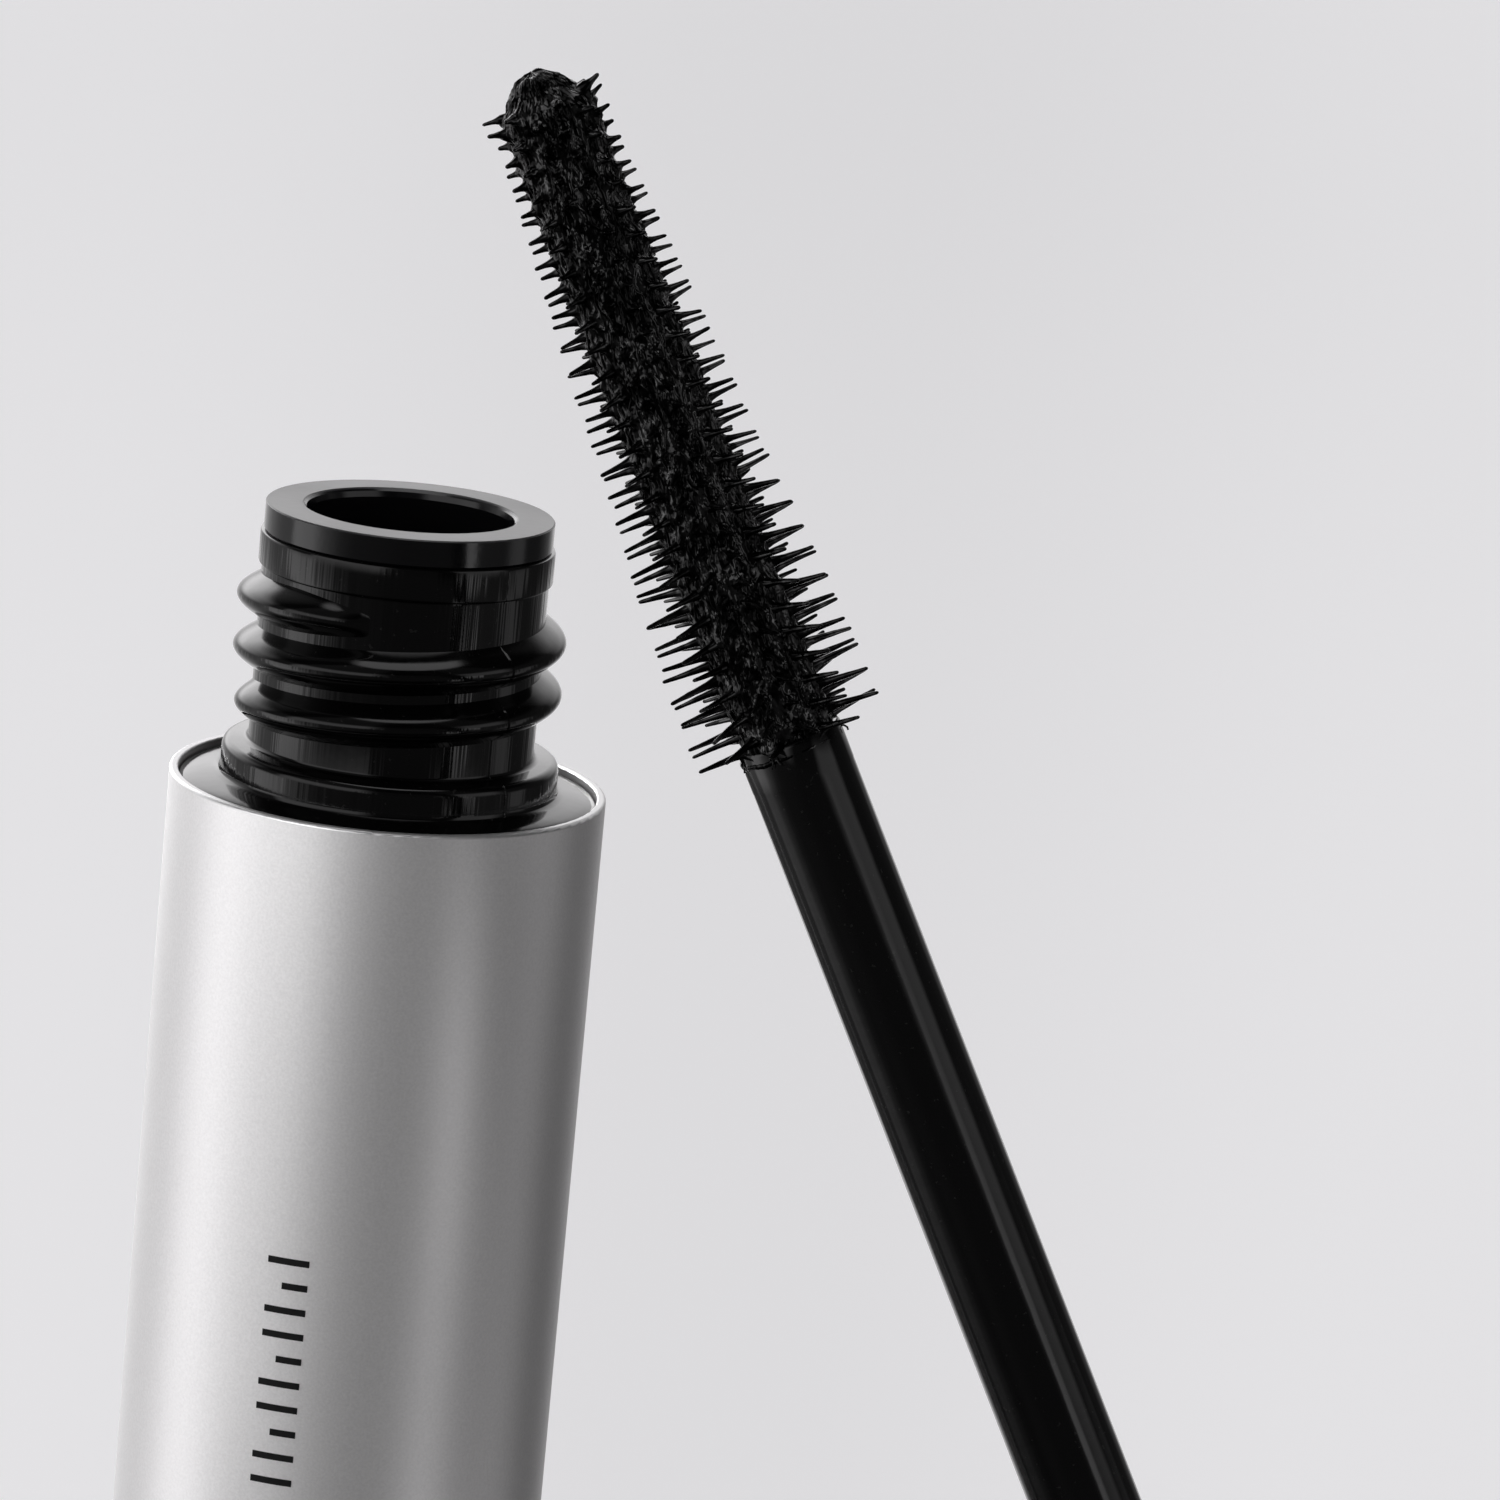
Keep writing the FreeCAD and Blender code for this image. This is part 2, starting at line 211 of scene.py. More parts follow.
class Nodes:
    """Adds nodes to one node tree and links them."""

    def __init__(self, tree):
        self.tree = tree
        self.coords = None

    def add(self, kind, **values):
        node = self.tree.nodes.new(kind)
        for key, value in values.items():
            setattr(node, key, value)
        return node

    def put(self, value, socket):
        """Sets a socket to a number or a colour, or links another socket to it."""
        if isinstance(value, (int, float, tuple)):
            socket.default_value = value
        else:
            self.tree.links.new(value, socket)

    def math(self, operation, a, b=0.0):
        node = self.add("ShaderNodeMath", operation=operation)
        self.put(a, node.inputs[0])
        self.put(b, node.inputs[1])
        return node.outputs[0]

    def scaled(self, x, y, z):
        node = self.add("ShaderNodeVectorMath", operation="MULTIPLY")
        self.put(self.coords, node.inputs[0])
        self.put((x, y, z), node.inputs[1])
        return node.outputs[0]

    def noise(self, scale, detail=3.0, rough=0.5, vector=None, distortion=0.0):
        node = self.add("ShaderNodeTexNoise")
        self.put(vector or self.coords, node.inputs["Vector"])
        self.put(scale, node.inputs["Scale"])
        self.put(detail, node.inputs["Detail"])
        self.put(rough, node.inputs["Roughness"])
        self.put(distortion, node.inputs["Distortion"])
        return node.outputs["Fac"]

    def remap(self, value, a, b, c, d, smooth=False):
        """Takes a..b to c..d, and holds the ends beyond."""
        node = self.add("ShaderNodeMapRange", interpolation_type="SMOOTHSTEP" if smooth else "LINEAR")
        self.put(value, node.inputs["Value"])
        for key, number in zip(("From Min", "From Max", "To Min", "To Max"), (a, b, c, d)):
            node.inputs[key].default_value = number
        return node.outputs["Result"]

    def mix(self, share, a, b):
        """Between two colours."""
        node = self.add("ShaderNodeMix", data_type="RGBA")
        self.put(share, node.inputs["Factor"])
        for socket, value in ((node.inputs[6], a), (node.inputs[7], b)):
            self.put(value + (1.0,) if isinstance(value, tuple) else value, socket)
        return node.outputs[2]

    def blend(self, share, a, b):
        """Between two numbers."""
        node = self.add("ShaderNodeMix", data_type="FLOAT")
        self.put(share, node.inputs[0])
        self.put(a, node.inputs[2])
        self.put(b, node.inputs[3])
        return node.outputs[0]

    def bump(self, height, strength, distance, normal=None):
        node = self.add("ShaderNodeBump")
        self.put(strength, node.inputs["Strength"])
        self.put(distance, node.inputs["Distance"])
        self.put(height, node.inputs["Height"])
        if normal is not None:
            self.put(normal, node.inputs["Normal"])
        return node.outputs[0]

    def xyz(self):
        node = self.add("ShaderNodeSeparateXYZ")
        self.put(self.coords, node.inputs[0])
        return node.outputs

    def facing_up(self):
        """Height of the surface's own normal: 1 facing up, 0 on a wall."""
        split = self.add("ShaderNodeSeparateXYZ")
        self.put(self.add("ShaderNodeNewGeometry").outputs["Normal"], split.inputs[0])
        return split.outputs[2]

    def curve(self, value, table):
        """A number by the straight lines between the table's (degrees, number), for a value of 0 to 1."""
        node = self.add("ShaderNodeFloatCurve")
        top = max(number for _, number in table)
        points = node.mapping.curves[0].points
        for i, (degrees, number) in enumerate(table):
            x, y = (degrees + 180) / 360, number / top
            if i == 0:
                points[0].location = (x, y)
            elif i == len(table) - 1:
                points[-1].location = (x, y)
            else:
                points.new(x, y)
        for point in points:
            point.handle_type = "VECTOR"
        node.mapping.update()
        self.put(value, node.inputs["Value"])
        return self.math("MULTIPLY", node.outputs[0], top)


# The materials by name, which is also the name of their slot in the record.
MATERIALS = {}


class Paint(Nodes):
    """The nodes of one material, in the object's own coordinates in metres, or in those of the matrix."""

    def __init__(self, name, matrix=None):
        self.mat = bpy.data.materials.new(name)
        MATERIALS[name] = self.mat
        self.mat.use_nodes = True
        super().__init__(self.mat.node_tree)
        self.bsdf = self.tree.nodes["Principled BSDF"]
        self.coords = self.add("ShaderNodeTexCoord").outputs["Object"]
        if matrix is not None:
            back = matrix.inverted()
            mapping = self.add("ShaderNodeMapping", vector_type="POINT")
            mapping.inputs["Location"].default_value = back.translation
            mapping.inputs["Rotation"].default_value = back.to_euler()
            self.put(self.coords, mapping.inputs["Vector"])
            self.coords = mapping.outputs[0]

    def set(self, **values):
        """Puts values on the shader; an underscore in a name stands for a space."""
        for key, value in values.items():
            self.put(value, self.bsdf.inputs[key.replace("_", " ")])


def anodised(name, rim_z, matrix=None):
    """Satin anodised aluminium: very fine grain, a few faint rubs, a smoother rim darkened with painted
    shade.
    """
    grey, pale = (0.80, 0.79, 0.795), (0.88, 0.87, 0.875)
    rubbed, rim_painted_shade = (0.92, 0.92, 0.92), (0.42, 0.42, 0.425)
    rim_m = (0.00006, 0.00016)
    n = Paint(name, matrix)
    grain = n.noise(9000.0, 2.0, 0.6)
    cloud = n.noise(60.0, 3.0, 0.5)
    rub = n.noise(420.0, 4.0, 0.55, n.scaled(1.0, 1.0, 0.12))
    rub_mask = n.remap(rub, 0.66, 0.74, 0.0, 1.0, smooth=True)
    from_rim = n.math("ABSOLUTE", n.math("SUBTRACT", n.xyz()[2], rim_z * MM))
    rim = n.remap(from_rim, *rim_m, 1.0, 0.0)
    base = n.mix(n.remap(grain, 0.3, 0.7, 0.0, 1.0), grey, pale)
    base = n.mix(n.math("MULTIPLY", rub_mask, 0.08), base, rubbed)
    # painted shade: the rim's colour is darkened to dim its highlight
    base = n.mix(n.math("MULTIPLY", rim, 0.7), base, rim_painted_shade)
    rough = n.math("ADD", n.remap(cloud, 0.3, 0.7, 0.42, 0.46), n.remap(grain, 0.3, 0.7, -0.02, 0.02))
    rough = n.math("SUBTRACT", rough, n.math("MULTIPLY", rim, 0.1))
    n.set(Base_Color=base, Roughness=rough, Metallic=n.remap(cloud, 0.3, 0.7, 0.66, 0.72))
    n.set(Normal=n.bump(grain, 0.10, 0.000012))


def gloss_black(name, matrix=None, rough=0.13, colour=0.007, drag=0.0, streak=False):
    """Moulded black plastic: soft orange peel, fine dust, faint handling marks."""
    black, dust = (colour, colour * 0.96, colour * 1.02), (0.09, 0.088, 0.086)
    n = Paint(name, matrix)
    peel = n.noise(900.0, 2.0, 0.5)
    cloud = n.noise(170.0, 4.0, 0.6)
    scratch = n.noise(1600.0, 2.0, 0.5, n.scaled(1.0, 1.0, 0.03) if streak else None)
    specks = n.remap(n.noise(5200.0, 1.0, 0.4), 0.72, 0.76, 0.0, 1.0)
    base = n.mix(n.math("MULTIPLY", specks, 0.25), black, dust)
    worn = n.remap(cloud, 0.3, 0.7, rough - 0.035, rough + 0.05)
    normal = n.bump(peel, 0.18, 0.00003)
    if drag:
        lines = n.noise(1500.0, 3.0, 0.65, n.scaled(1.0, 1.0, 0.02))
        upright = n.remap(n.math("ABSOLUTE", n.facing_up()), 0.12, 0.3, 1.0, 0.0)
        normal = n.bump(n.math("MULTIPLY", lines, upright), drag, 0.0001, normal)
    n.set(Base_Color=base, Roughness=n.math("ADD", worn, n.remap(scratch, 0.3, 0.7, -0.015, 0.02)))
    n.set(Metallic=0.0, Normal=normal, IOR=1.47)


def soft_black(name):
    """Semi-matt wiper moulding, rougher on its flat top, which is coloured paler as a painted reflection."""
    n = Paint(name)
    fine = n.noise(2600.0, 3.0, 0.6)
    cloud = n.noise(240.0, 3.0, 0.5)
    top = n.remap(n.xyz()[2], *WIPER_TOP_M, 0.0, 1.0)
    side_colour = n.mix(cloud, (0.004, 0.004, 0.005), (0.009, 0.009, 0.010))
    # painted reflection: the flat top is coloured grey to stand for the sheen it reflects
    top_painted_sheen = n.mix(cloud, (0.083, 0.082, 0.085), (0.107, 0.106, 0.109))
    rough = n.math("ADD", n.remap(cloud, 0.3, 0.7, 0.10, 0.15), n.math("MULTIPLY", top, 0.24))
    n.set(Base_Color=n.mix(top, side_colour, top_painted_sheen), Roughness=rough)
    n.set(Metallic=0.0, Normal=n.bump(fine, 0.16, 0.00003), IOR=1.5)


def wet_black(name, depth=1.0):
    """Wet formula: very dark, with streaks and glossier patches drawn out along the brush."""
    n = Paint(name)
    streak = n.noise(1900.0, 1.2, 0.4, n.scaled(1.0, 1.0, 0.3), 0.8)
    patches = n.noise(1900.0, 2.0, 0.5, n.scaled(1.0, 1.0, 0.4))
    cloud = n.noise(500.0, 3.0, 0.5)
    n.set(Base_Color=n.mix(cloud, (0.0005, 0.0005, 0.0006), (0.0014, 0.0013, 0.0015)))
    n.set(Roughness=n.remap(n.noise(1500.0, 3.0, 0.6), 0.35, 0.65, 0.03, 0.08))
    n.set(Metallic=0.0, Normal=n.bump(streak, depth, 0.00008), IOR=1.46)
    n.set(Specular_IOR_Level=n.remap(patches, 0.42, 0.62, 0.16, 0.95, smooth=True))


def plain(name, colour, rough, metallic=0.0, grain=1500.0, depth=0.00003):
    """A simple finish with a little grain, wear and roughness variation."""
    contrast = 0.12
    n = Paint(name)
    fine = n.noise(grain, 3.0, 0.6)
    cloud = n.noise(grain * 0.15, 3.0, 0.5)
    low = tuple(c * (1 - contrast) for c in colour)
    high = tuple(min(1.0, c * (1 + contrast)) for c in colour)
    n.set(Base_Color=n.mix(cloud, low, high), Metallic=metallic, Normal=n.bump(fine, 0.2, depth))
    n.set(Roughness=n.remap(cloud, 0.3, 0.7, rough - 0.05, rough + 0.07))


anodised("anodised_sleeve", SLEEVE_TOP)
anodised("anodised_cap", CAP_EDGE, PLACE)
plain("mark_ink", (0.012, 0.012, 0.013), 0.5, grain=6000.0, depth=0.00001)
gloss_black("black_gloss")
gloss_black("black_gloss_bottle", rough=0.10, colour=0.003, drag=0.5)
gloss_black("black_moulding", PLACE, rough=0.28, colour=0.011)
plain("label_white", (0.78, 0.78, 0.77), 0.55)
soft_black("wiper_soft")
wet_black("formula")
wet_black("wet_formula")
plain("liner_soft", (0.72, 0.72, 0.69), 0.7, depth=0.00006)
plain("weight_steel", (0.5, 0.5, 0.49), 0.32, metallic=1.0)
plain("pad_foam", (0.12, 0.12, 0.12), 0.85, depth=0.0001)
gloss_black("stem_gloss", PLACE, rough=0.09, colour=0.004, streak=True)
wet_black("brush_moulding", 0.35)
plain("core_steel", (0.5, 0.5, 0.49), 0.3, metallic=1.0)

for sub in frame["record"]["subparts"]:
    node = frame["nodes"][sub["node"]]
    node.data.materials.clear()
    node.data.materials.append(MATERIALS[sub["material_slot"]])


# ---------- meshes ----------

def mesh_object(name, verts, faces, slot, matrix=None, sharp=None):
    """A smooth mesh, with edges kept sharp where faces meet at more than that angle in degrees."""
    mesh = bpy.data.meshes.new(name)
    mesh.from_pydata([tuple(v) for v in verts], [], faces)
    mesh.update()
    mesh.polygons.foreach_set("use_smooth", [True] * len(mesh.polygons))
    if sharp is not None:
        mesh.set_sharp_from_angle(angle=math.radians(sharp))
    obj = bpy.data.objects.new(name, mesh)
    bpy.context.scene.collection.objects.link(obj)
    mesh.materials.append(MATERIALS[slot])
    if matrix is not None:
        obj.matrix_world = matrix
    return obj


def add_point(verts, radius, angle, height):
    verts.append((radius * math.cos(angle) * MM, radius * math.sin(angle) * MM, height * MM))


def add_ring(verts, radius, height, sides):
    """A level ring of points round the z axis."""
    for k in range(sides):
        add_point(verts, radius, 2 * math.pi * k / sides, height)


def join_rings(faces, low, high, sides, flip=False):
    """Quads between the rings that start at points low and high."""
    for k in range(sides):
        far = (k + 1) % sides
        if flip:
            faces.append((low + k, high + k, high + far, low + far))
        else:
            faces.append((low + k, low + far, high + far, high + k))


def close_ring(faces, first, sides, flip=False):
    """One face across the ring that starts at point first."""
    order = reversed(range(sides)) if flip else range(sides)
    faces.append(tuple(first + k for k in order))


def tube(verts, faces, centres, radii, sides):
    """Adds a closed tube through the centres; each ring is square to the path."""
    first = len(verts)
    count = len(centres)
    for i in range(count):
        ahead = (centres[min(i + 1, count - 1)] - centres[max(i - 1, 0)]).normalized()
        aside = Vector((0.31, 0.17, 0.93)) if abs(ahead.z) < 0.8 else Vector((1, 0.2, 0))
        a = ahead.cross(aside).normalized()
        b = ahead.cross(a)
        for k in range(sides):
            t = 2 * math.pi * k / sides
            verts.append((centres[i] + (a * math.cos(t) + b * math.sin(t)) * radii[i]) * MM)
    for i in range(count - 1):
        join_rings(faces, first + i * sides, first + (i + 1) * sides, sides)
    close_ring(faces, first, sides, flip=True)
    close_ring(faces, first + (count - 1) * sides, sides)


def between(table, at):
    """The number on the straight lines between the table's (place, number)."""
    for (s0, r0), (s1, r1) in zip(table, table[1:]):
        if at <= s1:
            return r0 + (r1 - r0) * (at - s0) / (s1 - s0)
    return table[-1][1]


# ---------- the brush as it looks: bristles with formula on them ----------

def roots():
    """(angle, distance from the tip, distance of the bristle's end from the axis) for every bristle."""
    out = []
    for row in range(BRISTLE_ROWS):
        angle = 2 * math.pi * (row + 0.5) / BRISTLE_ROWS + ROW_PHASE
        for i in range(BRISTLES_PER_ROW):
            along = BRISTLE_FIRST + (i + 0.5 * (row % 2)) * BRISTLE_PITCH
            if along <= BRISTLE_LAST:
                out.append((angle, along, between(ENVELOPE, along)))
    return out


ROOTS = roots()


def bristle_radius(from_end, above_coat):
    """Slim and blunt at the end, with a foot that flares into the formula."""
    slim = END_R + TAPER * from_end
    flare = FLARE * math.exp(-max(above_coat, 0.0) / FLARE_FADE)
    blunt = math.sqrt(max(1 - (1 - min(from_end / BLUNT_LENGTH, 1.0)) ** 2, 0.04))
    return (slim + flare) * blunt


def bristles():
    """Each bristle is a tapering, slightly bent spike with a rounded end and a drawn-out foot."""
    verts, faces = [], []
    foot = COAT_R - FOOT_DEPTH
    for angle, along, reach in ROOTS:
        rnd = random.Random(int(angle * 1000) * 131 + int(along * 1000))
        in_tip_rows = along < TIP_ROWS_END
        reach *= 1 + rnd.uniform(-LENGTH_SPREAD, LENGTH_SPREAD)
        reach += rnd.uniform(0.0, TIP_EXTRA) if in_tip_rows else 0.0
        length = reach - foot
        lean = rnd.uniform(-BEND_SPREAD, BEND_SPREAD)
        lean -= rnd.uniform(0.0, TIP_LEAN) if in_tip_rows else 0.0
        sway = rnd.uniform(-BEND_SPREAD, BEND_SPREAD)
        curl = rnd.uniform(-BEND_SPREAD, BEND_SPREAD)
        thick = rnd.uniform(0.9, 1.12)
        out = Vector((math.cos(angle), math.sin(angle), 0))
        side = Vector((-math.sin(angle), math.cos(angle), 0))
        centres, radii = [], []
        for share in BRISTLE_SHARES:
            rise = (lean * share + curl * share * share) * length
            root = Vector((0, 0, TIP_Z + along + rise))
            centres.append(out * (foot + share * length) + side * (sway * share * length) + root)
            wobble = 0.0 if share > 0.92 else 0.11 * noise.noise(Vector((angle * 9, along * 5, share * 7)))
            radius = bristle_radius((1 - share) * length, share * length - FLARE_START)
            radii.append(radius * thick * (1 + wobble))
        tube(verts, faces, centres, radii, BRISTLE_SIDES)
    return mesh_object("bristles_wet", verts, faces, "brush_moulding", PLACE)


def body_radius(s):
    """The formula's mean surface: the dome of the tip, a slight swelling, then a step up to the stem."""
    if s < TIP_SHAPE[-1][0]:
        return between(TIP_SHAPE, s)
    r = COAT_R + COAT_GAIN * (s / BRUSH_LENGTH)
    if s > COAT_END - STEM_STEP:
        over = min(1.0, (s - (COAT_END - STEM_STEP)) / STEM_STEP)
        r = r + (STEM_R + STEP_FILM - r) * over * over * (3 - 2 * over)
    return r


def smear_end(t):
    """Where the formula stops on the stem: further down on the left."""
    lean = 0.5 + 0.5 * math.cos(t - LEFT_BEARING)
    ragged = noise.noise(Vector((math.cos(t) * 3.1, math.sin(t) * 3.1, 8.0)))
    return COAT_END + SMEAR + SMEAR_LEFT * lean * lean + SMEAR_RAGGED * ragged


def ridged(x, y, z):
    """Noise with sharp crests."""
    return 1.0 - 2.0 * abs(noise.noise(Vector((x, y, z))))


def surface_relief(x, y, s):
    """Lumps and drawn-out strings of the formula; x, y on the unit circle."""
    fold_bend = 0.6 * noise.noise(Vector((x * 2, y * 2, s)))
    string_bend = 0.8 * noise.noise(Vector((x * 4, y * 4, s * 2)))
    lumps = 0.10 * noise.noise(Vector((x * 2.2, y * 2.2, s * 0.6)))
    folds = 0.065 * ridged(x * 4.6 + 3, y * 4.6, s * 0.85 + fold_bend)
    strings = 0.075 * ridged(x * 9.5, y * 9.5 + 5, s * 1.9 + string_bend)
    threads = 0.028 * ridged(x * 19, y * 19, s * 4.4)
    return lumps + folds + strings + threads


def tip_lumps(x, y, s):
    """Larger lumps on the tip, that fade out below it."""
    q = body_radius(s) * 1.5
    large = 0.20 * noise.noise(Vector((x * q, y * q, s * 2.2 + 3)))
    small = 0.10 * noise.noise(Vector((x * q * 2.3, y * q * 2.3, s * 4)))
    return (large + small) * (1 - s / TIP_LUMPS_END)


def swelling(s, close):
    """How far the formula is drawn up a bristle near this place; close lists (arc squared, row's places)."""
    swell = 0.0
    for arc2, places in close:
        i = min(max(round((s - places[0]) / BRISTLE_PITCH), 0), len(places) - 1)
        ds = s - places[i]
        swell = max(swell, (SWELL - SWELL_LOSS * s) * math.exp(-(arc2 + ds * ds) / SWELL_SPREAD))
    return swell


def coat_columns():
    """For each column of the coat's points: angle, cosine, sine, rows of bristles near it, and its end."""
    rows = {}
    for angle, along, reach in ROOTS:
        rows.setdefault(round(angle, 4), []).append(along)
    columns = []
    for k in range(COAT_SIDES):
        t = 2 * math.pi * k / COAT_SIDES
        close = []
        for angle, places in rows.items():
            arc = ((t - angle + math.pi) % (2 * math.pi) - math.pi) * COAT_R
            if abs(arc) < SWELL_REACH:
                close.append((arc * arc, places))
        columns.append((math.cos(t), math.sin(t), close, smear_end(t)))
    return columns


def coat():
    """The formula's surface, drawn up round each bristle's foot, and hollow round the brush's pin."""
    verts, faces = [], []
    columns = coat_columns()
    for j in range(COAT_RINGS + 1):
        share = j / COAT_RINGS
        for x, y, close, end in columns:
            s = end * share
            relief = surface_relief(x, y, s)
            if s < TIP_LUMPS_END:
                relief += tip_lumps(x, y, s)
            on_stem = min(max((s - COAT_END + SMOOTH_START) / SMOOTH_LENGTH, 0.0), 1.0)
            near_tip = min(1.0, s / TIP_FADE)
            raised = relief * (0.3 + 0.7 * near_tip) + swelling(s, close) * near_tip
            r = body_radius(s) + raised * (1 - SMOOTHED * on_stem)
            if on_stem >= 1.0:
                r = max(r, STEM_R + THIN_FILM)
            if share > 1 - RIM_SHARE:
                r = STEM_R - RIM_SINK + (r - STEM_R + RIM_SINK) * (1 - share) / RIM_SHARE
            if j == 0:
                r = TIP_FLAT_R
            verts.append((r * x * MM, r * y * MM, (TIP_Z + s - 0.6 * relief * (1 - near_tip)) * MM))
    for j in range(COAT_RINGS):
        join_rings(faces, j * COAT_SIDES, (j + 1) * COAT_SIDES, COAT_SIDES, flip=True)
    close_ring(faces, 0, COAT_SIDES)
    last = COAT_RINGS * COAT_SIDES
    for s in (COAT_END + 0.02, COAT_BORE_START):
        add_ring(verts, COAT_BORE, TIP_Z + s, COAT_SIDES)
        join_rings(faces, last, last + COAT_SIDES, COAT_SIDES, flip=True)
        last += COAT_SIDES
    close_ring(faces, last, COAT_SIDES, flip=True)
    return mesh_object("formula_wet", verts, faces, "wet_formula", PLACE, sharp=60)


def strands():
    """Strings of formula that lie along the brush: a few long ones and many short."""
    verts, faces = [], []
    rnd = random.Random(11)
    for i in range(STRANDS):
        t = rnd.uniform(0, 2 * math.pi)
        start = rnd.uniform(*STARTS)
        length = rnd.uniform(*LENGTHS)
        if i < LONG_STRANDS:
            t = 2 * math.pi * i / LONG_STRANDS
            start = rnd.uniform(*LONG_STARTS)
            length = rnd.uniform(*LONG_LENGTHS)
        steps = int(length * STRAND_RINGS_PER_MM)
        thick = rnd.uniform(*STRAND_RADII)
        seed = rnd.uniform(0, 50)
        centres, radii = [], []
        for j in range(steps + 1):
            s = start + length * j / steps
            if s > STRAND_LIMIT:
                break
            sway = 0.32 * noise.noise(Vector((seed, s * 0.55, 1.0)))
            shake = 0.10 * noise.noise(Vector((seed, s * 2.2, 4.0)))
            x, y = math.cos(t + sway + shake), math.sin(t + sway + shake)
            r = body_radius(s) + surface_relief(x, y, s) + 0.25 * thick
            centres.append(Vector((r * x, r * y, TIP_Z + s)))
            taper = 0.35 + 0.65 * math.sin(math.pi * min(max(j / steps, 0.03), 0.97))
            radii.append(thick * taper * (1 + 0.3 * noise.noise(Vector((seed, s * 3, 9)))))
        if len(centres) > STRAND_RINGS_LEAST:
            tube(verts, faces, centres, radii, STRAND_SIDES)
    return mesh_object("formula_strands", verts, faces, "wet_formula", PLACE)


def end_ring():
    """The plain end of the brush moulding, where it meets the stem."""
    verts, faces = [], []
    for radius, s in RING_PROFILE:
        add_ring(verts, radius, TIP_Z + s, RING_SIDES)
    for i in range(len(RING_PROFILE)):
        after = (i + 1) % len(RING_PROFILE)
        join_rings(faces, i * RING_SIDES, after * RING_SIDES, RING_SIDES)
    return mesh_object("brush_shoulder", verts, faces, "stem_gloss", PLACE, sharp=40)


# ---------- the inner bottle as it looks: smooth thread, parting line, softened edges ----------

def lathe(verts, faces):
    """Body, shoulder, collar and neck, turned round the axis."""
    profile = BODY + SHOULDER + COLLAR + NECK + MOUTH + INSIDE
    for radius, z in profile:
        add_ring(verts, max(radius, 0.001), z, BOTTLE_SIDES)
    for i in range(len(profile) - 1):
        join_rings(faces, i * BOTTLE_SIDES, (i + 1) * BOTTLE_SIDES, BOTTLE_SIDES)
    close_ring(faces, 0, BOTTLE_SIDES, flip=True)
    close_ring(faces, (len(profile) - 1) * BOTTLE_SIDES, BOTTLE_SIDES)


def thread_z(degrees):
    """Height of the middle of the thread at that angle."""
    return THREAD_TOP_Z - PITCH * (THREAD_TOP - degrees) / 360


def thread_grow(degrees):
    """0 at the thread's ends, 1 where it is full."""
    share = min((THREAD_TOP - degrees) / THREAD_RUN_OUT, (degrees - THREAD_LOW) / THREAD_RUN_OUT, 1.0)
    return math.sin(max(share, 0.0) * math.pi / 2) ** 0.9


def ridge_half(grow):
    """Half the thread's width at its root."""
    return RIDGE_HALF + RIDGE_HALF_GAIN * grow


def ridge_bump(u, grow):
    """Height of the thread's ridge at u, from -1 at its lower foot to 1 at its upper foot."""
    if abs(u) >= 1:
        return 0.0
    return THREAD_RISE * grow * (1 - u * u) ** 1.25


def thread(verts, faces):
    """The neck's thread, sunk a little into it, with a run-out that drops at the top."""
    start = len(verts)
    steps = int((THREAD_TOP - THREAD_LOW) / THREAD_STEP)
    size = RIDGE_POINTS + 2
    for i in range(steps + 1):
        degrees = THREAD_LOW + (THREAD_TOP - THREAD_LOW) * i / steps
        grow = thread_grow(degrees)
        z = thread_z(degrees)
        if THREAD_TOP - degrees < THREAD_RUN_OUT:
            z -= RUN_OUT_DROP * (1 - grow)
        half = ridge_half(grow)
        section = [(NECK_R - RIDGE_ROOT, -half)]
        for k in range(RIDGE_POINTS):
            u = -1 + 2 * k / (RIDGE_POINTS - 1)
            section.append((NECK_R - RIDGE_SINK + ridge_bump(u, grow), u * half))
        section.append((NECK_R - RIDGE_ROOT, half))
        for radius, dz in section:
            add_point(verts, radius, math.radians(degrees), z + dz)
    for i in range(steps):
        join_rings(faces, start + i * size, start + (i + 1) * size, size, flip=True)
    close_ring(faces, start, size)
    close_ring(faces, start + steps * size, size, flip=True)


def surface_at_seam(z):
    """Radius of the neck or of the thread on it at that height, and how far the flash stands out there."""
    radius, flash = NECK_R, FLASH
    outside = SHOULDER + COLLAR + NECK
    for (r0, z0), (r1, z1) in zip(outside, outside[1:]):
        if z0 <= z <= z1:
            radius = r0 + (r1 - r0) * (z - z0) / (z1 - z0)
            break
    for turn in range(-3, 2):
        degrees = PARTING + 360 * turn
        if THREAD_LOW <= degrees <= THREAD_TOP:
            grow = thread_grow(degrees)
            bump = ridge_bump((z - thread_z(degrees)) / ridge_half(grow), grow)
            if bump > 0.02:
                flash = FLASH + FLASH_ON_THREAD * bump
            radius = max(radius, NECK_R + bump)
    return radius, flash


def parting_line(verts, faces):
    """The thin flash that the mould leaves up the neck and over the thread."""
    start = len(verts)
    size = len(SEAM_SECTION)
    for i in range(SEAM_STEPS + 1):
        z = SEAM_LOW + (SEAM_HIGH - SEAM_LOW) * i / SEAM_STEPS
        radius, flash = surface_at_seam(z)
        flash += FLASH_WAVE * noise.noise(Vector((z * 3, 0, 0)))
        for aside, sunk, share in SEAM_SECTION:
            add_point(verts, radius - sunk + share * flash, math.radians(PARTING + aside), z)
    for i in range(SEAM_STEPS):
        join_rings(faces, start + i * size, start + (i + 1) * size, size)
    close_ring(faces, start, size)
    close_ring(faces, start + SEAM_STEPS * size, size, flip=True)


def bottle():
    verts, faces = [], []
    lathe(verts, faces)
    thread(verts, faces)
    parting_line(verts, faces)
    return mesh_object("inner_bottle_look", verts, faces, "black_gloss_bottle", sharp=34)


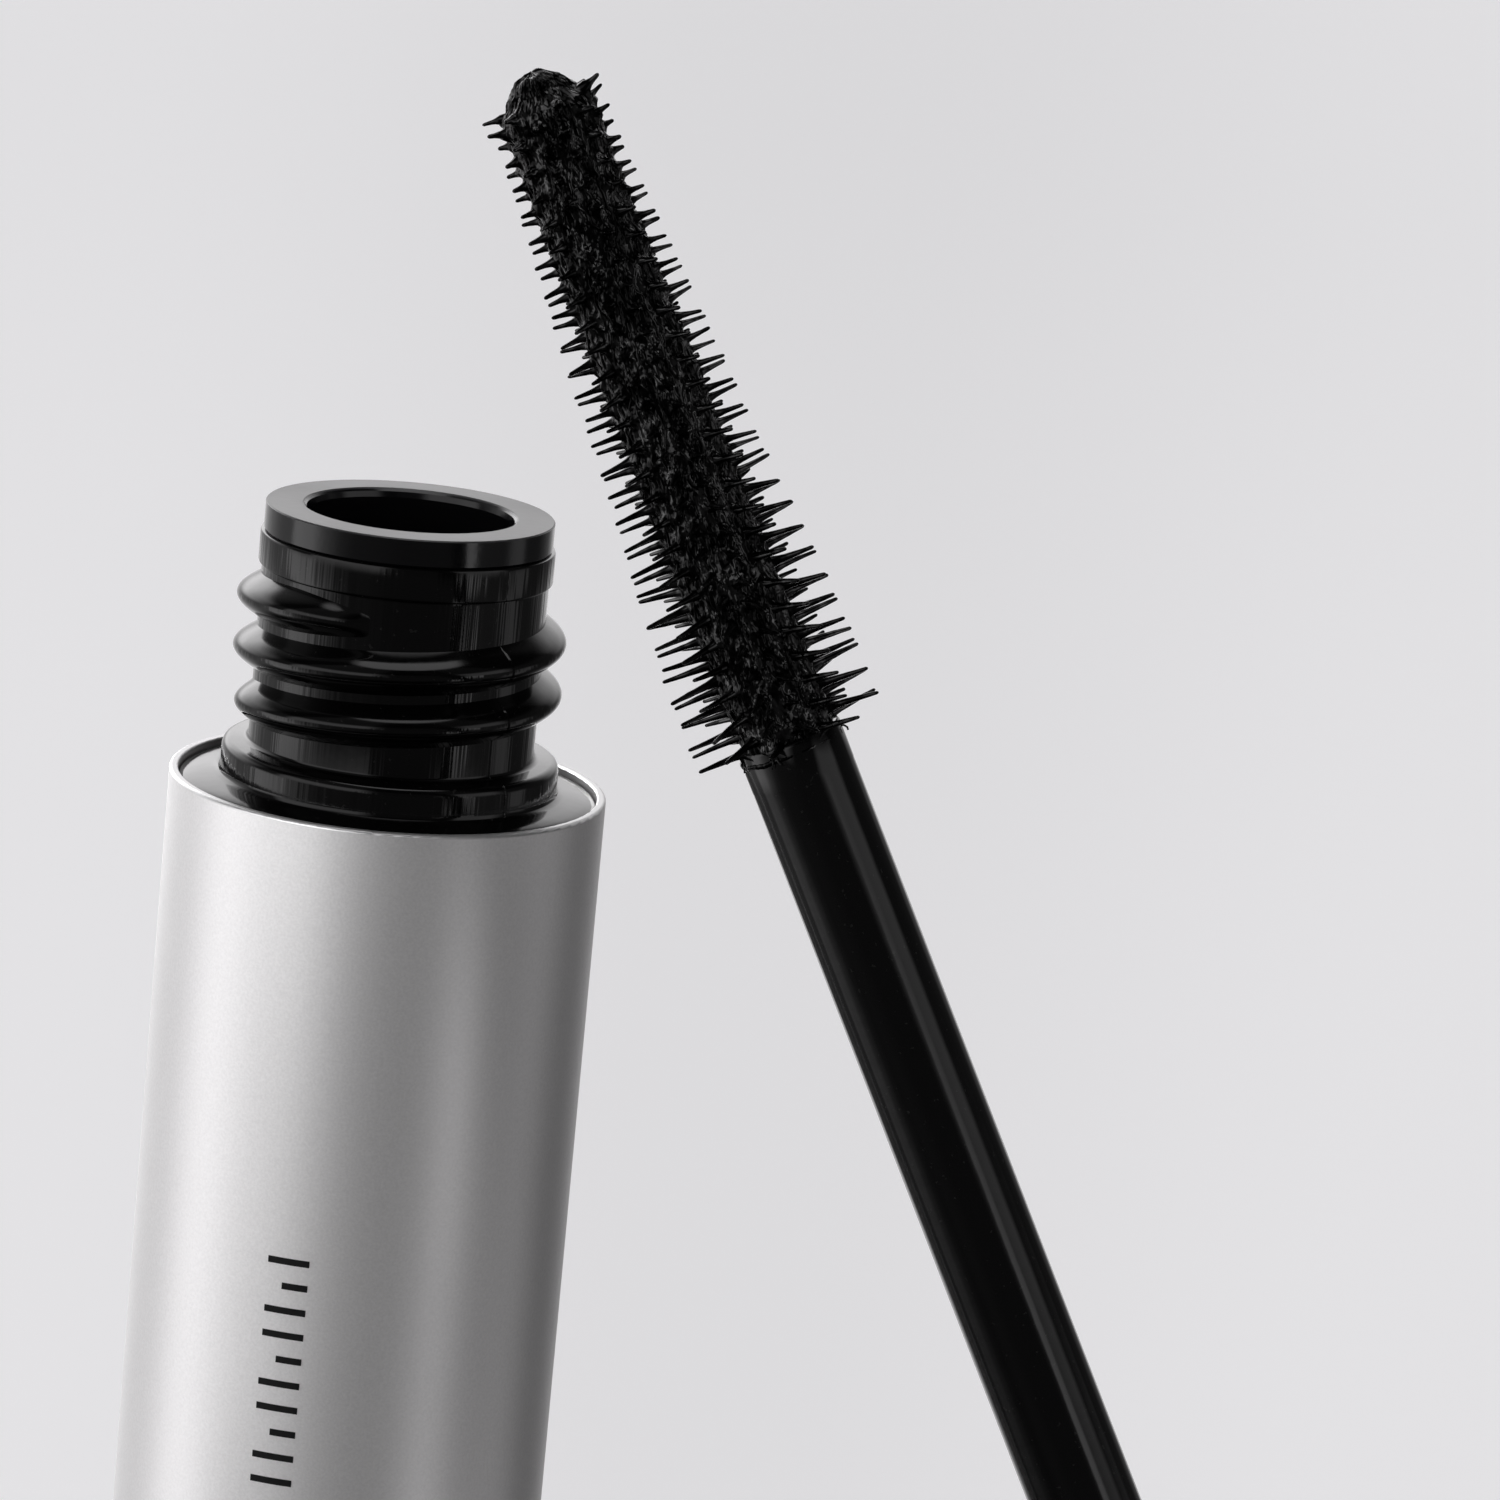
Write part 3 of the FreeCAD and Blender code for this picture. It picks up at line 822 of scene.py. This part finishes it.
for piece, body, slot, replaced in (
    (bristles(), "applicator", "brush_moulding", "brush"),
    (end_ring(), "applicator", "stem_gloss", "brush"),
    (coat(), "applicator", "wet_formula", "formula_coat"),
    (strands(), "applicator", "wet_formula", "formula_coat"),
    (bottle(), "bottle", "black_gloss_bottle", "inner_bottle"),
):
    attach(piece, body)
    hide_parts(replaced)


# ---------- floor, light and camera ----------

EYE = Vector((14.366, -253.923, 142.377))
LOOK_DOWN = math.radians(13.231)
ROLL = math.radians(5.594)
LENS = 156.0
SENSOR = 36.0

# The stage, in metres
FLOOR_SIZE = 8.0
FLOOR_Z = -0.00005
FLOOR_GLOW = 0.52
WALL_RADIUS = 3.9
WALL_HEIGHT = 4.0
WALL_MIDDLE = 1.9
# Soft boxes for the aluminium: bearing and radiance of each.
PANELS = [(-14, 0.3), (-38, 3.0), (-66, 1.25), (-122, 0.9), (-150, 5.0)]
PANEL_STEP = 28
PANEL_DISTANCE = 0.6
PANEL_HEIGHT = 0.45
# Studio surround: brightness by bearing, degrees from the camera's side, positive to its right.
SURROUND = [
    (-180, 0.95), (-160, 0.75), (-140, 0.55), (-118, 0.4), (-103, 0.5), (-98, 1.5), (-78, 1.5),
    (-68, 0.7), (-52, 0.2), (-40, 0.1), (0, 0.06), (40, 0.06), (47, 0.12), (49, 1.2), (58, 1.2),
    (61, 0.15), (88, 0.1), (95, 0.4), (106, 0.4), (112, 0.07), (130, 0.05), (150, 0.2),
    (165, 0.7), (180, 0.95),
]
# The same above the horizon, where a large soft box stands on the left.
SOFT = [
    (-180, 1.8), (-150, 2.6), (-125, 1.4), (-98, 0.1), (-80, 0.1), (-74, 1.0), (-58, 1.0),
    (-48, 0.9), (-17, 0.9), (-10, 0.3), (-4, 0.05), (36, 0.05), (46, 0.6), (80, 0.6), (90, 0.06),
    (110, 0.05), (135, 0.06), (155, 0.8), (180, 1.6),
]
OVERHEAD = 1.3


def floor():
    """Pale paper that glows as painted light: painted shade darkens it straight ahead of the camera's place,
    and painted light brightens it near the camera's place.
    """
    n = Paint("floor_paint")
    tone = n.noise(1.3, 2.0, 0.5)
    x, y, _ = n.xyz()
    aside = n.math("DIVIDE", n.math("SUBTRACT", x, EYE.x * MM), n.math("SUBTRACT", y, EYE.y * MM))
    # painted shade along the line straight ahead of the camera, and painted light near it, both in the
    # floor's glow
    centre = n.remap(n.math("ABSOLUTE", aside), 0.01, 0.11, 0.91, 1.0, smooth=True)
    near = n.remap(y, 0.12, 0.8, 1.08, 1.0, smooth=True)
    n.set(Emission_Strength=n.math("MULTIPLY", n.math("MULTIPLY", centre, near), FLOOR_GLOW))
    n.set(Emission_Color=(1.0, 0.992, 1.012, 1.0))
    n.set(Base_Color=n.mix(tone, (0.50, 0.497, 0.507), (0.52, 0.517, 0.527)), Roughness=0.8)
    n.set(Specular_IOR_Level=0.1)
    bpy.ops.mesh.primitive_plane_add(size=FLOOR_SIZE, location=(0, 0, FLOOR_Z))
    plane = bpy.context.object
    plane.name = "floor"
    plane.data.materials.append(n.mat)
    plane.visible_glossy = False
    plane.visible_diffuse = False


def surround():
    """The studio seen in reflections: two bands of soft boxes, a dim roof, a small light overhead."""
    world = bpy.data.worlds.new("studio")
    bpy.context.scene.world = world
    world.use_nodes = True
    world.node_tree.nodes.clear()
    n = Nodes(world.node_tree)
    n.coords = n.add("ShaderNodeTexCoord").outputs["Generated"]
    x, y, z = n.xyz()
    bearing = n.math("ARCTAN2", x, n.math("MULTIPLY", y, -1.0))
    share = n.remap(bearing, -math.pi, math.pi, 0.0, 1.0)
    raised = n.remap(z, -0.02, 0.2, 0.0, 1.0, smooth=True)
    walls = n.blend(raised, n.curve(share, SURROUND), n.curve(share, SOFT))
    walls = n.math("MULTIPLY", walls, n.remap(z, 0.40, 0.62, 1.0, 0.10, smooth=True))
    room = n.blend(n.remap(z, 0.93, 0.96, 0.0, 1.0, smooth=True), walls, OVERHEAD)
    room = n.math("MULTIPLY", room, n.remap(z, -0.75, -0.45, 0.04, 1.0, smooth=True))
    background = n.add("ShaderNodeBackground")
    n.put((1.0, 0.99, 1.0, 1.0), background.inputs["Color"])
    n.put(room, background.inputs["Strength"])
    n.put(background.outputs[0], n.add("ShaderNodeOutputWorld").inputs[0])


def backdrop():
    """Pale wall round the far edge of the floor, so that a low view ends in the same tone."""
    mat = bpy.data.materials.new("backdrop_glow")
    mat.use_nodes = True
    mat.node_tree.nodes.clear()
    n = Nodes(mat.node_tree)
    glow = n.add("ShaderNodeEmission")
    n.put((0.75, 0.745, 0.765, 1.0), glow.inputs["Color"])
    n.put(glow.outputs[0], n.add("ShaderNodeOutputMaterial").inputs[0])
    bpy.ops.mesh.primitive_cylinder_add(
        radius=WALL_RADIUS, depth=WALL_HEIGHT, vertices=96,
        end_fill_type="NOTHING", location=(0, 0, WALL_MIDDLE),
    )
    wall = bpy.context.object
    wall.name = "backdrop"
    wall.data.materials.append(mat)
    wall.visible_glossy = False
    wall.visible_diffuse = False
    wall.visible_shadow = False
    wall.visible_transmission = False


def side_panels():
    """Soft boxes in an arc on the left that light the two aluminium shells only."""
    receivers = bpy.data.collections.new("panel_receivers")
    for name in ("outer_sleeve", "cap_shell"):
        receivers.objects.link(bpy.data.objects[name])
    for bearing, glow in PANELS:
        data = bpy.data.lights.new("side_panel", "AREA")
        data.shape = "RECTANGLE"
        data.size = 2 * PANEL_DISTANCE * math.tan(math.radians(PANEL_STEP / 2))
        data.size_y = PANEL_HEIGHT
        data.energy = glow * math.pi * data.size * data.size_y
        panel = bpy.data.objects.new("side_panel", data)
        bpy.context.scene.collection.objects.link(panel)
        turn = math.radians(bearing)
        spot = Vector((PANEL_DISTANCE * math.sin(turn), -PANEL_DISTANCE * math.cos(turn), PANEL_HEIGHT / 2))
        panel.location = spot
        panel.rotation_euler = Vector((-spot.x, -spot.y, 0)).to_track_quat("-Z", "Y").to_euler()
        panel.visible_camera = False
        panel.light_linking.receiver_collection = receivers


def camera():
    """Looks along +y and down, rolled a little."""
    ahead = Vector((0, math.cos(LOOK_DOWN), -math.sin(LOOK_DOWN)))
    right = Vector((1, 0, 0))
    up = right.cross(ahead)
    x = right * math.cos(ROLL) + up * math.sin(ROLL)
    y = up * math.cos(ROLL) - right * math.sin(ROLL)
    data = bpy.data.cameras.new("camera")
    data.sensor_width = SENSOR
    data.lens = LENS
    data.clip_start = 0.01
    data.clip_end = 20.0
    cam = bpy.data.objects.new("camera", data)
    bpy.context.scene.collection.objects.link(cam)
    m = Matrix((x, y, -ahead)).transposed().to_4x4()
    m.translation = EYE * MM
    cam.matrix_world = m
    bpy.context.scene.camera = cam


floor()
surround()
backdrop()
side_panels()
camera()

scene = bpy.context.scene
scene.view_settings.view_transform = "Standard"
scene.view_settings.look = "None"
scene.render.film_transparent = False
